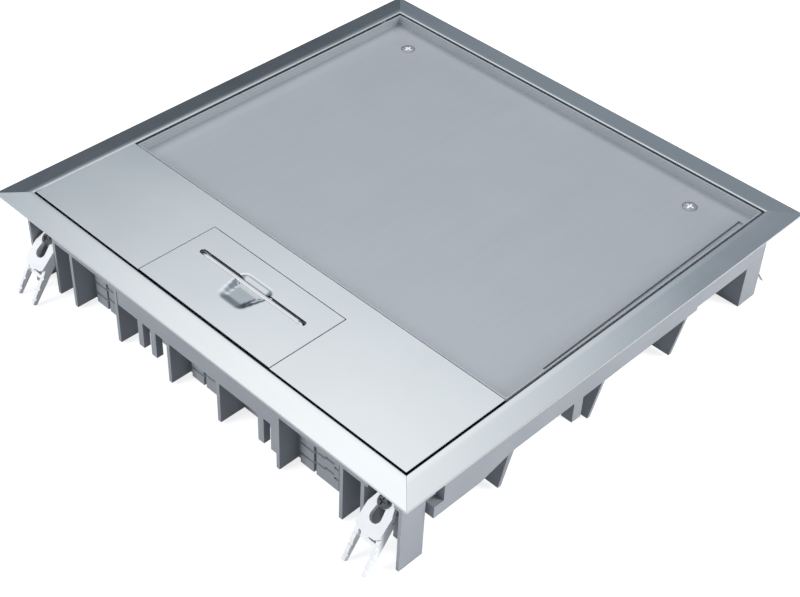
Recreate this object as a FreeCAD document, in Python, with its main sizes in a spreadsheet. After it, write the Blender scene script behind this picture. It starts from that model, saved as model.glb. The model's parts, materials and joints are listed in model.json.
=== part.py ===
import FreeCAD, Part
import os
import re

# Driving sizes in millimetres and degrees
sizes = {
    "unitHeight": 52.0,
    "frameWidth": 264.0,
    "edgeHeight": 1.0,
    "bevelRise": 1.0,
    "bevelWidth": 9.0,
    "flatWidth": 3.6,
    "sheet": 1.0,
    "trimLeg": 12.0,
    "flangeLand": 6.4,
    "flangeStep": 0.3,
    "lidGap": 1.2,
    "recess": 5.0,
    "rim": 2.0,
    "hem": 8.0,
    "lidDepth": 12.0,
    "carrierPlate": 3.0,
    "skirtWall": 3.0,
    "latticeRib": 2.0,
    "latticePitch": 38.0,
    "stripDepth": 57.5,
    "flapLeft": 44.1,
    "flapRight": 40.3,
    "flapDepth": 42.8,
    "flapGap": 0.4,
    "flapPivot": 12.0,
    "flapPivotDepth": 2.5,
    "flapPinRadius": 1.3,
    "flapBlock": 5.0,
    "flapShelf": 3.0,
    "cheek": 5.0,
    "slotInset": 27.8,
    "slotLength": 67.5,
    "slotWidth": 3.0,
    "slotOffset": 2.15,
    "wireRadius": 1.1,
    "wireProud": 0.5,
    "wireDrop": 19.0,
    "wireFoot": 4.0,
    "dishWidth": 21.0,
    "dishFrontInset": 12.7,
    "dishRearInset": 32.9,
    "dishOffset": 1.6,
    "dishDepth": 3.2,
    "dishTaper": 3.5,
    "hingeInset": 9.0,
    "hingeDepth": 4.0,
    "hingeRadius": 2.0,
    "runFit": 0.05,
    "hingeGrip": 7.0,
    "channel": 13.5,
    "wall": 2.0,
    "outerWall": 1.6,
    "deckDepth": 17.0,
    "deck": 2.5,
    "bottomGap": 1.5,
    "bandDrop": 27.0,
    "bandStart": 57.5,
    "bandEnd": 50.0,
    "sideBand": 3.0,
    "sideBandDrop": 25.0,
    "sideBandDropFront": 29.5,
    "sideBandDropRear": 23.0,
    "sideBandStep": 65.0,
    "sideBandFrontInset": 19.3,
    "sideBandRearInset": 15.0,
    "rib": 2.0,
    "ribTaper": 4.5,
    "legWidth": 13.5,
    "legStep": 1.5,
    "leg": 2.0,
    "postDrop": 42.0,
    "postWidth": 3.6,
    "sidePost": 6.0,
    "restPad": 6.0,
    "buffer": 1.5,
    "gridPlate": 2.7,
    "gridProud": 1.3,
    "gridSlot": 1.4,
    "gridSlotDepth": 2.4,
    "gridPitch": 6.3,
    "gridDrop": 33.0,
    "gridNarrow": 8.2,
    "gridWide": 13.5,
    "gridGap": 1.6,
    "gridStep": 0.9,
    "clawNearInset": 13.0,
    "clawFarInset": 9.0,
    "clawStand": 0.5,
    "clawSlack": 0.4,
    "clawSeat": 11.0,
    "clawTooth": 5.5,
    "clawToothDepth": 0.9,
    "slideGap": 0.1,
    "clawDrop": 30.5,
    "clawTilt": 45.0,
    "clawBend": 15.0,
    "clawHalf": 6.8,
    "clawSheet": 2.5,
    "clawTop": 9.6,
    "clawShoulder": 3.0,
    "clawPlateLow": 8.0,
    "clawRoot": 6.0,
    "clawLeg": 18.6,
    "clawCheek": 2.0,
    "clawCheekDepth": 5.0,
    "clawTipWidth": 2.2,
    "keyWide": 2.9,
    "keyNarrow": 1.9,
    "keyLength": 7.0,
    "studRadius": 1.7,
    "studHead": 3.0,
    "studHeadHigh": 2.0,
    "studLength": 10.0,
    "screwLeftInset": 22.3,
    "screwRightInset": 28.5,
    "screwInset": 16.2,
    "screwHead": 3.5,
    "screwShank": 1.75,
    "screwSink": 1.9,
    "screwLength": 7.0,
    "nutHalf": 3.5,
    "nutHigh": 2.4,
    "rivetRadius": 1.5,
    "rivetHead": 2.5,
    "rivetHigh": 0.6,
    "rivetDrop": 8.5,
    "rivetPlace": 70.0,
}

# Rib, post and grid places that stay at their distance from the middle of a wall
frontRibs = {"ribC": -59.0, "ribD": -22.5, "ribE": 11.0, "ribF": 49.0}
sideRibs = {"sideRibA": -61.7, "sideRibB": -2.5, "sideRibC": 57.0}
frontPosts = {"postA": -42.0, "postB": -33.0, "postC": 38.5, "postD": 46.5}
sidePosts = {"sidePostA": -14.5}
for group in (frontRibs, sideRibs, frontPosts, sidePosts):
    sizes.update(group)

# Ribs that stay at their distance from the corner, which gives way to the claws
cornerRibs = {"ribA": 17.0, "ribB": 30.0, "ribG": 35.0, "ribH": 23.0}
for name, inset in cornerRibs.items():
    sizes[f"{name}Inset"] = inset

# Faces and places that follow from the driving sizes
derived = {
    "outerFace": "frameWidth / 2 - bevelWidth - flatWidth + sheet + outerWall",
    "lidHalf": "frameWidth / 2 - bevelWidth - flatWidth - lidGap",
    "seamPlace": "lidHalf - stripDepth",
    "flapRear": "lidHalf - flapDepth",
    "slotPlace": "lidHalf - slotInset",
    "dishFront": "lidHalf - dishFrontInset",
    "dishRear": "lidHalf - dishRearInset",
    "wallPlace": "outerFace - channel",
    "legOuter": "outerFace + legStep",
    "sideBandFront": "outerFace - sideBandFrontInset",
    "sideBandRear": "outerFace - sideBandRearInset",
    "clawNear": "outerFace - clawNearInset",
    "clawFar": "outerFace - clawFarInset",
    "clawPlace": "outerFace + clawStand",
    "screwLeft": "lidHalf - screwLeftInset",
    "screwRight": "lidHalf - screwRightInset",
    "screwPlace": "lidHalf - screwInset",
    "ribA": "ribAInset - outerFace",
    "ribB": "ribBInset - outerFace",
    "ribG": "outerFace - ribGInset",
    "ribH": "outerFace - ribHInset",
}

doc = FreeCAD.newDocument("FloorSocketBox")
sheet = doc.addObject("Spreadsheet::Sheet", "Sizes")
for row, (alias, number) in enumerate(sizes.items(), start=1):
    sheet.set(f"A{row}", alias)
    sheet.set(f"B{row}", str(number))
    sheet.setAlias(f"B{row}", alias)
doc.recompute()
for row, (alias, formula) in enumerate(derived.items(), start=len(sizes) + 1):
    sheet.set(f"A{row}", alias)
    sheet.set(f"B{row}", f"={formula}")
    sheet.setAlias(f"B{row}", alias)
    doc.recompute()

functions = ("sqrt", "sin", "cos", "tan", "create", "placement", "vector", "rotation")


def bind(text):
    """Turn sheet names in an expression into references to the sheet."""
    def refer(found):
        word = found.group(0)
        return word if word in functions else f"Sizes.{word}"
    return re.sub(r"[A-Za-z]+", refer, str(text))


def body(name):
    made = doc.addObject("PartDesign::Body", name)
    made.Label = name
    return made


planes = {"XY": 3, "XZ": 4, "YZ": 5}


def sketch(owner, plane, loops, offset="0", place=None):
    """Closed outlines on a base plane; each point or circle is bound to the sheet."""
    made = owner.newObject("Sketcher::SketchObject", "Outline")
    made.AttachmentSupport = (owner.Origin.OriginFeatures[planes[plane]], [""])
    made.MapMode = "FlatFace"
    if place:
        made.setExpression("AttachmentOffset", bind(place))
    else:
        made.setExpression("AttachmentOffset.Base.z", bind(offset))
    for loop in loops:
        if loop[0] == "circle":
            addCircle(made, *loop[1:])
        else:
            addPolygon(made, loop)
    return made


def hold(made, kind, args, text):
    index = made.addConstraint(constraint(kind, args))
    made.setExpression(f"Constraints[{index}]", bind(text))


def constraint(kind, args):
    import Sketcher
    return Sketcher.Constraint(kind, *args)


def addCircle(made, across, up, radius):
    index = made.addGeometry(Part.Circle(FreeCAD.Vector(1, 1, 0), FreeCAD.Vector(0, 0, 1), 1))
    hold(made, "Radius", (index, 1.0), radius)
    hold(made, "DistanceX", (-1, 1, index, 3, 1.0), across)
    hold(made, "DistanceY", (-1, 1, index, 3, 1.0), up)


def addPolygon(made, points):
    count = len(points)
    start = made.GeometryCount
    corners = [FreeCAD.Vector(10 + i, (i * i) % 7 + i, 0) for i in range(count)]
    for i in range(count):
        made.addGeometry(Part.LineSegment(corners[i], corners[(i + 1) % count]))
    for i in range(count):
        made.addConstraint(constraint("Coincident",
                                      (start + i, 2, start + (i + 1) % count, 1)))
    for i, (across, up) in enumerate(points):
        hold(made, "DistanceX", (-1, 1, start + i, 1, corners[i].x), across)
        hold(made, "DistanceY", (-1, 1, start + i, 1, corners[i].y), up)


def box(left, right, low, high):
    return [(left, low), (right, low), (right, high), (left, high)]


def pad(owner, outline, length, both=False, back=False):
    made = owner.newObject("PartDesign::Pad", "Pad")
    made.Profile = outline
    made.setExpression("Length", bind(length))
    made.SideType = "Symmetric" if both else "One side"
    made.Reversed = back
    return made


def pocket(owner, outline, length, both=False, back=False):
    made = owner.newObject("PartDesign::Pocket", "Pocket")
    made.Profile = outline
    made.setExpression("Length", bind(length))
    made.SideType = "Symmetric" if both else "One side"
    made.Reversed = back
    return made


def loft(owner, kind, first, second):
    made = owner.newObject(f"PartDesign::{kind}Loft", "Loft")
    made.Profile = first
    made.Sections = [second]
    return made


def copies(name, source, places):
    """One node of equal pieces, each a link to the same body at its own place."""
    links = []
    for place in places:
        link = doc.addObject("App::Link", f"{name}Link")
        link.LinkedObject = source
        link.setExpression("Placement", bind(place))
        links.append(link)
    group = doc.addObject("Part::Compound", name)
    group.Links = links
    group.Label = name
    return group


def placed(across, along, up, yaw="0", roll="0"):
    return (f"create(<<placement>>; create(<<vector>>; {across}; {along}; {up}); "
            f"create(<<rotation>>; {yaw}; 0; {roll}))")


# Levels and faces that several pieces share
top = "unitHeight"
frameHalf = "(frameWidth / 2)"
legFace = f"({frameHalf} - bevelWidth - flatWidth)"
legBack = f"({legFace} + sheet)"
outerFace = "outerFace"
lidHalf = "lidHalf"
lidInner = f"({lidHalf} - rim)"
lidLow = f"({top} - lidDepth)"
floorLow = f"({top} - recess - sheet)"
plateLow = f"({floorLow} - carrierPlate)"
sheetLow = f"({top} - sheet)"
hemLow = f"({top} - hem)"
flangeLow = f"({top} - bevelRise - edgeHeight)"
flangeSeat = f"({flangeLow} + flangeStep)"
wallInner = "(wallPlace - wall)"
deckTop = f"({top} - deckDepth)"
deckLow = f"({deckTop} - deck)"
hingeAlong = f"({lidHalf} - hingeInset)"
hingeUp = f"({top} - hingeDepth)"
sideFace = f"({outerFace} + sideBand)"
coverRear = "(seamPlace + sheet + slotWidth / 15)"
openLeft = "(flapLeft + flapGap)"
openRight = "(flapRight + flapGap)"
openRear = "(flapRear - flapGap)"
flapUp = f"({top} - flapPivotDepth)"
flapAlong = "(flapRear + flapPivot)"
through = "(frameWidth * 2)"
nodes = {}

# Four mitred trim bars
trims = {
    "trim_front": ("0", "0", True),
    "trim_right": ("90", f"{hingeAlong}", True),
    "trim_back": ("180", "0", False),
    "trim_left": ("-90", f"-{hingeAlong}", True),
}
for name, (turn, pinPlace, riveted) in trims.items():
    bar = nodes[name] = body(name)
    bar.setExpression("Placement", placed("0", "0", "0", yaw=turn))
    profile = sketch(bar, "YZ", [[
        (f"-{frameHalf}", flangeLow),
        (f"-{frameHalf} + flangeLand", flangeLow),
        (f"-{frameHalf} + flangeLand", flangeSeat),
        (f"-{legBack}", flangeSeat),
        (f"-{legBack}", f"{top} - trimLeg"),
        (f"-{legFace}", f"{top} - trimLeg"),
        (f"-{legFace}", top),
        (f"-({frameHalf} - bevelWidth)", top),
        (f"-{frameHalf}", f"{top} - bevelRise"),
    ]])
    pad(bar, profile, "frameWidth", both=True)
    mitre = f"({frameHalf} - 2 * bevelWidth)"
    ends = [[(f"{side}{frameHalf}", f"-{frameHalf}"), (f"{side}{frameHalf}", f"-{mitre}"),
             (f"{side}{mitre}", f"-{mitre}")] for side in ("", "-")]
    pocket(bar, sketch(bar, "XY", ends), through, both=True)
    if pinPlace != "0":
        hole = sketch(bar, "XZ", [("circle", pinPlace, hingeUp, "hingeRadius + 4 * runFit")])
        pocket(bar, hole, through, both=True)
    if riveted:
        holes = [("circle", f"{side}rivetPlace", f"{top} - rivetDrop", "rivetRadius")
                 for side in ("", "-")]
        pocket(bar, sketch(bar, "XZ", holes), through, both=True)

# Housing: inner wall, deck under the lid and outer wall under the trim
housing = nodes["housing"] = body("housing")


def square(half):
    return box(f"-{half}", half, f"-{half}", half)


ring = sketch(housing, "XY", [square("wallPlace"), square(wallInner)], "bottomGap")
pad(housing, ring, f"{deckTop} - bottomGap")
ring = sketch(housing, "XY", [square(outerFace), square(wallInner)], deckLow)
pad(housing, ring, "deck")
ring = sketch(housing, "XY", [square(outerFace), square(legBack)], deckLow)
pad(housing, ring, f"{flangeSeat} - {deckLow}")

# Housing: bands on the front, back and side faces
bands = [box("-bandStart", "bandEnd", f"-{outerFace}", f"-{legBack}"),
         box("-bandEnd", "bandStart", legBack, outerFace)]
pad(housing, sketch(housing, "XY", bands, f"{top} - bandDrop"), f"bandDrop - deckDepth")
for front, rear, drop in (("-sideBandFront", "sideRibA", "sideBandDropFront"),
                          ("sideRibA", "sideBandStep", "sideBandDrop"),
                          ("sideBandStep", "sideBandRear", "sideBandDropRear")):
    bands = [box(legBack, sideFace, front, rear), box(f"-{sideFace}", f"-{legBack}", front, rear)]
    pad(housing, sketch(housing, "XY", bands, f"{top} - {drop}"), f"{flangeSeat} - {top} + {drop}")

# Housing: upright ribs and short posts on the front and back faces
rows = []
for name in (*frontRibs, *cornerRibs):
    left, right = f"{name} - rib / 2", f"{name} + rib / 2"
    rows.append(box(left, right, f"-{outerFace}", f"-{wallInner} - wall / 2"))
    rows.append(box(f"-({right})", f"-({left})", f"{wallInner} + wall / 2", outerFace))
pad(housing, sketch(housing, "XY", rows, "bottomGap"), f"{deckTop} - bottomGap")
rows = []
for name in frontPosts:
    left, right = f"{name} - postWidth / 2", f"{name} + postWidth / 2"
    rows.append(box(left, right, f"-{outerFace}", f"-{outerFace} + postWidth"))
    rows.append(box(f"-({right})", f"-({left})", f"{outerFace} - postWidth", outerFace))
pad(housing, sketch(housing, "XY", rows, f"{top} - postDrop"), "postDrop - deckDepth")

# Housing: tapered ribs and posts on the side faces
for name in sideRibs:
    outlines = []
    for side in ("", "-"):
        outlines.append([
            (f"{side}({wallInner} + wall / 2)", "bottomGap"),
            (f"{side}({sideFace} - ribTaper)", "bottomGap"),
            (f"{side}{sideFace}", f"{top} - sideBandDrop"),
            (f"{side}{sideFace}", deckTop),
            (f"{side}({wallInner} + wall / 2)", deckTop),
        ])
    pad(housing, sketch(housing, "XZ", outlines, f"-{name}"), "rib", both=True)
rows = []
for name in sidePosts:
    low, high = f"{name} - sidePost / 2", f"{name} + sidePost / 2"
    rows.append(box(f"{outerFace} - sidePost", outerFace, low, high))
    rows.append(box(f"-{outerFace}", f"-{outerFace} + sidePost", low, high))
pad(housing, sketch(housing, "XY", rows, f"{top} - postDrop"), "postDrop - deckDepth")

# Housing: corner legs that the unit stands on
returns, plates = [], []
for across in ("", "-"):
    for along in ("", "-"):
        returns.append([
            (f"{across}({wallInner} + wall / 2)", f"{along}(legOuter - legWidth)"),
            (f"{across}{outerFace}", f"{along}(legOuter - legWidth)"),
            (f"{across}{outerFace}", f"{along}legOuter"),
            (f"{across}{legBack}", f"{along}legOuter"),
            (f"{across}{legBack}", f"{along}(legOuter - legWidth + leg)"),
            (f"{across}({wallInner} + wall / 2)", f"{along}(legOuter - legWidth + leg)"),
        ])
        plates.append(box(f"{across}{legBack}", f"{across}{outerFace}",
                          f"{along}(legOuter - legWidth)", f"{along}legOuter"))
pad(housing, sketch(housing, "XY", returns), deckTop)
pad(housing, sketch(housing, "XY", plates, deckLow), f"{flangeSeat} - {deckLow}")

# Housing: cable grids, raised plates with slots, between two ribs on the front and back
grids = {"gridA": ("ribB", "ribC"), "gridB": ("ribD", "ribE"), "gridC": ("ribF", "ribG")}
for side, back in (("-", False), ("", True)):
    flip = "" if side == "-" else "-"
    plates, panels = [], []
    for near, far in grids.values():
        plates.append(box(f"{flip}{near}", f"{flip}{far}", f"{side}({wallInner} + wall / 2)",
                          f"{side}(wallPlace + gridPlate)"))
        start = f"({near} + rib / 2 + 3 * gridStep)"
        middle = f"({start} + gridNarrow + gridGap)"
        for left, right in ((start, f"{start} + gridNarrow"), (middle, f"{middle} + gridWide")):
            panels.append(box(f"{flip}({left})", f"{flip}({right})",
                              f"{side}(wallPlace + gridPlate / 2)",
                              f"{side}(wallPlace + gridPlate + gridProud)"))
    pad(housing, sketch(housing, "XY", plates, "bottomGap"), f"{deckTop} - bottomGap")
    pad(housing, sketch(housing, "XY", panels, "bottomGap"), f"{deckLow} - bottomGap")
    for near, far in grids.values():
        start = f"({near} + rib / 2 + 3 * gridStep)"
        middle = f"({start} + gridNarrow + gridGap)"
        steps = [(start, "gridNarrow", "0"), (middle, "gridWide * 0.4", "-2 * gridStep"),
                 (f"{middle} + gridWide * 0.4", "gridWide * 0.4", "-3 * gridStep"),
                 (f"{middle} + gridWide * 0.8", "gridWide * 0.2", "-gridStep")]
        slots = []
        for row in range(3):
            for left, width, drop in steps:
                low = f"({top} - gridDrop - {row} * gridPitch - ({drop}))"
                slots.append(box(f"{flip}({left})", f"{flip}({left} + {width})", low,
                                 f"{low} + gridSlot"))
        for part in (slots[:4], slots[4:8], slots[8:]):
            face = sketch(housing, "XZ", part, f"{flip}(wallPlace + gridPlate + gridProud)")
            pocket(housing, face, "gridSlotDepth", back=back)

# Housing: hinge bosses beside the trim, and rest pads for the lid
bosses = [box(f"{legBack}", f"{sideFace} - sheet", f"{hingeAlong} - 2 * hingeRadius",
              f"{hingeAlong} + 2 * hingeRadius"),
          box(f"-{sideFace} + sheet", f"-{legBack}", f"{hingeAlong} - 2 * hingeRadius",
              f"{hingeAlong} + 2 * hingeRadius")]
pad(housing, sketch(housing, "XY", bosses, f"{hingeUp} - 2 * hingeRadius"),
    f"{flangeSeat} - {hingeUp} + 2 * hingeRadius")
bore = sketch(housing, "YZ", [("circle", hingeAlong, hingeUp, "hingeRadius + runFit")])
pocket(housing, bore, through, both=True)
padPlace = f"({lidHalf} - restPad / 2)"
padCentres = [("rivetPlace", f"-{padPlace}"), ("-rivetPlace", f"-{padPlace}"),
              (padPlace, "rivetPlace"), (f"-{padPlace}", "rivetPlace")]
pads = [box(f"{across} - restPad / 2", f"{across} + restPad / 2",
            f"{along} - restPad / 2", f"{along} + restPad / 2") for across, along in padCentres]
pad(housing, sketch(housing, "XY", pads, deckLow), f"{lidLow} - buffer - {deckLow}")

# Housing: rivet holes through the outer wall on three sides
faces = {"XZ": [("circle", f"{side}rivetPlace", f"{top} - rivetDrop", "rivetRadius")
                for side in ("", "-")]}
front = sketch(housing, "XZ", faces["XZ"], f"{lidHalf}")
pocket(housing, front, "rivetPlace", back=True)
pocket(housing, sketch(housing, "YZ", faces["XZ"]), through, both=True)

# Housing: claw bays, each with a slanted seat and a screw hole
claws = {
    "claw_front_right": ("clawNear", "-clawPlace", "0"),
    "claw_front_left": ("-clawFar", "-clawPlace", "0"),
    "claw_rear_left": ("-clawNear", "clawPlace", "180"),
    "claw_rear_right": ("clawFar", "clawPlace", "180"),
}
clawUp = f"({top} - clawDrop)"
clawPlaces = {name: placed(across, along, clawUp, yaw=turn, roll="90 - clawTilt")
              for name, (across, along, turn) in claws.items()}
bayTop = f"({lidLow} - 2)"
notches = []
for across, along, turn in claws.values():
    near, far = ("wallPlace", f"{outerFace} + 1")
    low, high = (f"-({far})", f"-{near}") if turn == "0" else (near, far)
    notches.append(box(f"{across} - clawHalf - clawSlack", f"{across} + clawHalf + clawSlack",
                       low, high))
pocket(housing, sketch(housing, "XY", notches, deckLow), f"{bayTop} - {deckLow}", back=True)
seatHalf = "(clawHalf - clawCheek - clawSlack)"
seatRoot = f"({wallInner} + wall / 2)"


def onClaw(up, out, side="-"):
    """A point of the claw's own plane, as along and height in the housing."""
    return (f"{side}(clawPlace - ({up}) * sin(clawTilt) + ({out}) * cos(clawTilt))",
            f"{clawUp} + ({up}) * cos(clawTilt) + ({out}) * sin(clawTilt)")


for name, (across, along, turn) in claws.items():
    side = "-" if turn == "0" else ""
    low, high = "keyLength - 2 * studRadius", "keyLength + 2 * studRadius"
    deep, shallow = onClaw(low, "-clawSeat", side), onClaw(high, "-slideGap", side)
    seat = sketch(housing, "YZ", [[
        onClaw(low, "-slideGap", side), deep, (f"{side}{seatRoot}", deep[1]),
        (f"{side}{seatRoot}", shallow[1]), shallow]], across)
    pad(housing, seat, f"2 * {seatHalf}", both=True)
    inward = "slideGap" if turn == "0" else "-slideGap"
    place = placed(across, f"{along} + {inward} * cos(clawTilt)",
                   f"{clawUp} - slideGap * sin(clawTilt)", yaw=turn, roll="90 - clawTilt")
    hole = sketch(housing, "XY", [("circle", "0", "keyLength", "studRadius")], place=place)
    pocket(housing, hole, "studLength")

# Claws: keyhole plate, and two bent legs with notches and a web between them


def onLeg(down, deep):
    """A point of the leg's own run, in the plane of the claw's side."""
    return (f"-clawRoot - ({down}) * cos(clawBend) + ({deep}) * sin(clawBend)",
            f"clawSheet / 4 - ({down}) * sin(clawBend) - ({deep}) * cos(clawBend)")


for name, place in clawPlaces.items():
    claw = nodes[name] = body(name)
    claw.setExpression("Placement", bind(place))
    edge = []
    for tooth in range(3):
        start = f"(clawTooth * (0.7 + {tooth}))"
        edge += [onLeg(start, "0"), onLeg(f"{start} + clawToothDepth", "clawToothDepth"),
                 onLeg(f"{start} + 2 * clawToothDepth", "0")]
    cheek = sketch(claw, "YZ", [[onLeg("-clawRoot", "0"), *edge, onLeg("clawLeg", "0"),
                                 onLeg("clawLeg", "clawTipWidth"),
                                 onLeg("-clawRoot", "clawCheekDepth")]])
    pad(claw, cheek, "2 * clawHalf", both=True)
    middle = sketch(claw, "YZ", [box("-2 * clawLeg", "clawLeg", "-clawLeg", "clawLeg")])
    pocket(claw, middle, "2 * (clawHalf - clawCheek)", both=True)
    plate = sketch(claw, "XY", [[
        ("-clawHalf", "clawShoulder"), ("-clawHalf", "1.6 - clawPlateLow"),
        ("-clawHalf * 0.72", "-clawPlateLow"), ("-clawHalf * 0.36", "-clawPlateLow"),
        ("-clawHalf * 0.18", "-clawPlateLow - 1.2"), ("clawHalf * 0.18", "-clawPlateLow - 1.2"),
        ("clawHalf * 0.36", "-clawPlateLow"), ("clawHalf * 0.72", "-clawPlateLow"),
        ("clawHalf", "1.6 - clawPlateLow"), ("clawHalf", "clawShoulder"),
        ("clawHalf * 0.65", "clawTop"), ("-clawHalf * 0.65", "clawTop"),
    ]])
    pad(claw, plate, "clawSheet")
    web = sketch(claw, "YZ", [[onLeg("4.6", "2"), onLeg("6.4", "2"), onLeg("6.4", "4.2"),
                               onLeg("4.6", "4.2")]])
    pad(claw, web, "2 * clawHalf - clawCheek", both=True)
    lean = "((keyWide - keyNarrow) / keyLength)"
    flank = f"sqrt(1 - {lean} * {lean})"
    waist = [(f"-keyWide * {flank}", f"keyWide * {lean}"),
             (f"keyWide * {flank}", f"keyWide * {lean}"),
             (f"keyNarrow * {flank}", f"keyLength + keyNarrow * {lean}"),
             (f"-keyNarrow * {flank}", f"keyLength + keyNarrow * {lean}")]
    for outline in (("circle", "0", "0", "keyWide"), waist, ("circle", "0", "keyLength", "keyNarrow")):
        pocket(claw, sketch(claw, "XY", [outline]), "3 * clawSheet", both=True)


def turned(name, profile):
    """A piece revolved about its own upright axis."""
    made = body(name)
    outline = sketch(made, "XZ", [profile])
    turn = made.newObject("PartDesign::Revolution", "Revolution")
    turn.Profile = outline
    turn.ReferenceAxis = (outline, ["V_Axis"])
    turn.Angle = 360
    return made


def crossRecess(owner, level, reach, width, depth):
    slots = [box(f"-{reach}", reach, f"-{width} / 2", f"{width} / 2"),
             box(f"-{width} / 2", f"{width} / 2", f"-{reach}", reach)]
    for outline in slots:
        pocket(owner, sketch(owner, "XY", [outline], level), depth)


# Claw screws, whose heads hold the claws against their seats
stud = turned("claw_screw", [
    ("0", "-studLength + clawSheet + 2 * slideGap"),
    ("studRadius", "-studLength + clawSheet + 2 * slideGap"),
    ("studRadius", "clawSheet + slideGap"), ("studHead", "clawSheet + slideGap"),
    ("studHead", "clawSheet + slideGap + studHeadHigh * 0.6"),
    ("studHead * 0.75", "clawSheet + slideGap + studHeadHigh"),
    ("0", "clawSheet + slideGap + studHeadHigh")])
crossRecess(stud, "clawSheet + slideGap + studHeadHigh", "studRadius", "studRadius * 0.4",
            "studHeadHigh * 0.5")
studPlaces = []
for across, along, turn in claws.values():
    inward = "1" if turn == "0" else "(-1)"
    studPlaces.append(placed(across, f"{along} + {inward} * keyLength * sin(clawTilt)",
                             f"{clawUp} + keyLength * cos(clawTilt)", yaw=turn,
                             roll="90 - clawTilt"))
nodes["claw_screws"] = copies("claw_screws", stud, studPlaces)

# Rivets between the trim's legs and the housing
rivet = turned("rivet", [
    ("0", f"-({outerFace} - {legFace})"), ("rivetRadius", f"-({outerFace} - {legFace})"),
    ("rivetRadius", "0"), ("rivetHead", "0"), ("rivetHead * 0.8", "rivetHigh"),
    ("0", "rivetHigh")])
rivetPlaces = []
rivetUp = f"{top} - rivetDrop"
for side in ("", "-"):
    rivetPlaces.append(placed(f"{side}rivetPlace", f"-{legFace}", rivetUp, roll="-90"))
    rivetPlaces.append(placed(legFace, f"{side}rivetPlace", rivetUp, yaw="90", roll="-90"))
    rivetPlaces.append(placed(f"-{legFace}", f"{side}rivetPlace", rivetUp, yaw="-90", roll="-90"))
nodes["trim_rivets"] = copies("trim_rivets", rivet, rivetPlaces)

# Rubber buffers on the rest pads
buffer = turned("buffer", [("0", "0"), ("restPad * 0.42", "0"), ("restPad * 0.42", "buffer * 0.6"),
                           ("restPad * 0.3", "buffer - slideGap"), ("0", "buffer - slideGap")])
bufferPlaces = [placed(across, along, f"{lidLow} - buffer") for across, along in padCentres]
nodes["lid_buffers"] = copies("lid_buffers", buffer, bufferPlaces)

# Lid carrier: plate, skirt, raised front with the flap opening, and lattice
carrier = nodes["lid_carrier"] = body("lid_carrier")
pad(carrier, sketch(carrier, "XY", [square(lidInner)], plateLow), "carrierPlate")
skirt = sketch(carrier, "XY", [square(lidHalf), square(f"({lidHalf} - skirtWall)")], lidLow)
pad(carrier, skirt, f"{hemLow} - {lidLow}")
riserRear = "(seamPlace + sheet)"
riser = sketch(carrier, "XY", [
    box(f"-{lidInner}", lidInner, f"-{lidInner}", f"-{riserRear}"),
    box(f"-{lidInner} + skirtWall", f"-{openLeft} - cheek", f"-{lidInner} + skirtWall",
        f"-{riserRear} - skirtWall"),
    box(f"{openRight} + cheek", f"{lidInner} - skirtWall", f"-{lidInner} + skirtWall",
        f"-{riserRear} - skirtWall")], floorLow)
pad(carrier, riser, f"{sheetLow} - {floorLow}")
alongRibs, acrossRibs = [], []
reach = f"({lidHalf} - skirtWall / 2)"
for step in range(-2, 3):
    place = f"({step} * latticePitch)"
    alongRibs.append(box(f"{place} - latticeRib / 2", f"{place} + latticeRib / 2",
                         f"-{openRear} + skirtWall", reach))
for step in range(4):
    place = f"(-{openRear} + skirtWall + {step + 1} * latticePitch)"
    acrossRibs.append(box(f"-{reach}", reach, f"{place} - latticeRib / 2",
                          f"{place} + latticeRib / 2"))
acrossRibs.append(box(f"-{reach}", reach, f"-{openRear}", f"-{openRear} + skirtWall"))
for outline in (alongRibs, acrossRibs):
    pad(carrier, sketch(carrier, "XY", outline, lidLow), f"{plateLow} - {lidLow} + sheet / 2")
opening = box(f"-{openLeft}", openRight, f"-{lidHalf} - 1", f"-{openRear}")
pocket(carrier, sketch(carrier, "XY", [opening]), through, both=True)
shelves = [box(f"-{openLeft} - 1", f"-{openLeft} + flapShelf", f"-{lidInner}",
               f"-{lidInner} + 4 * flapShelf"),
           box(f"{openRight} - flapShelf", f"{openRight} + 1", f"-{lidInner}",
               f"-{lidInner} + 4 * flapShelf")]
pad(carrier, sketch(carrier, "XY", shelves, plateLow), "carrierPlate - slideGap")
bore = sketch(carrier, "YZ", [("circle", f"-{flapAlong}", flapUp, "flapPinRadius + runFit")],
              f"-{openLeft} - cheek")
pocket(carrier, bore, f"{openLeft} + {openRight} + 2 * cheek", back=True)

# Lid tray: pressed floor inside a folded rim
tray = nodes["lid_tray"] = body("lid_tray")
rimOutline = sketch(tray, "XY", [
    box(f"-{lidHalf}", lidHalf, "-seamPlace - sheet", lidHalf),
    box(f"-{lidInner}", lidInner, "-seamPlace", lidInner)], hemLow)
pad(tray, rimOutline, "hem")
floor = sketch(tray, "XY", [box(f"-{lidInner} - rim / 2", f"{lidInner} + rim / 2",
                                "-seamPlace - sheet / 2", f"{lidInner} + rim / 2")], floorLow)
pad(tray, floor, "sheet")
underRim = sketch(tray, "XY", [box(f"-{lidInner}", lidInner, "-seamPlace - 2 * sheet",
                                   "-seamPlace + sheet")])
pocket(tray, underRim, floorLow, back=True)
trunnion = sketch(tray, "YZ", [("circle", hingeAlong, hingeUp, "hingeRadius")])
pocket(tray, trunnion, through, both=True)
screwPlaces = [("-screwLeft", "screwPlace"), ("screwRight", "screwPlace")]
floorTop = f"({top} - recess)"
for owner in (tray, carrier):
    for across, along in screwPlaces:
        wide = sketch(owner, "XY", [("circle", across, along, "screwHead")], floorTop)
        narrow = sketch(owner, "XY", [("circle", across, along, "screwShank")],
                        f"{floorTop} - screwSink")
        loft(owner, "Subtractive", wide, narrow)
        shank = sketch(owner, "XY", [("circle", across, along, "screwShank")])
        pocket(owner, shank, through, both=True)

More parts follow.
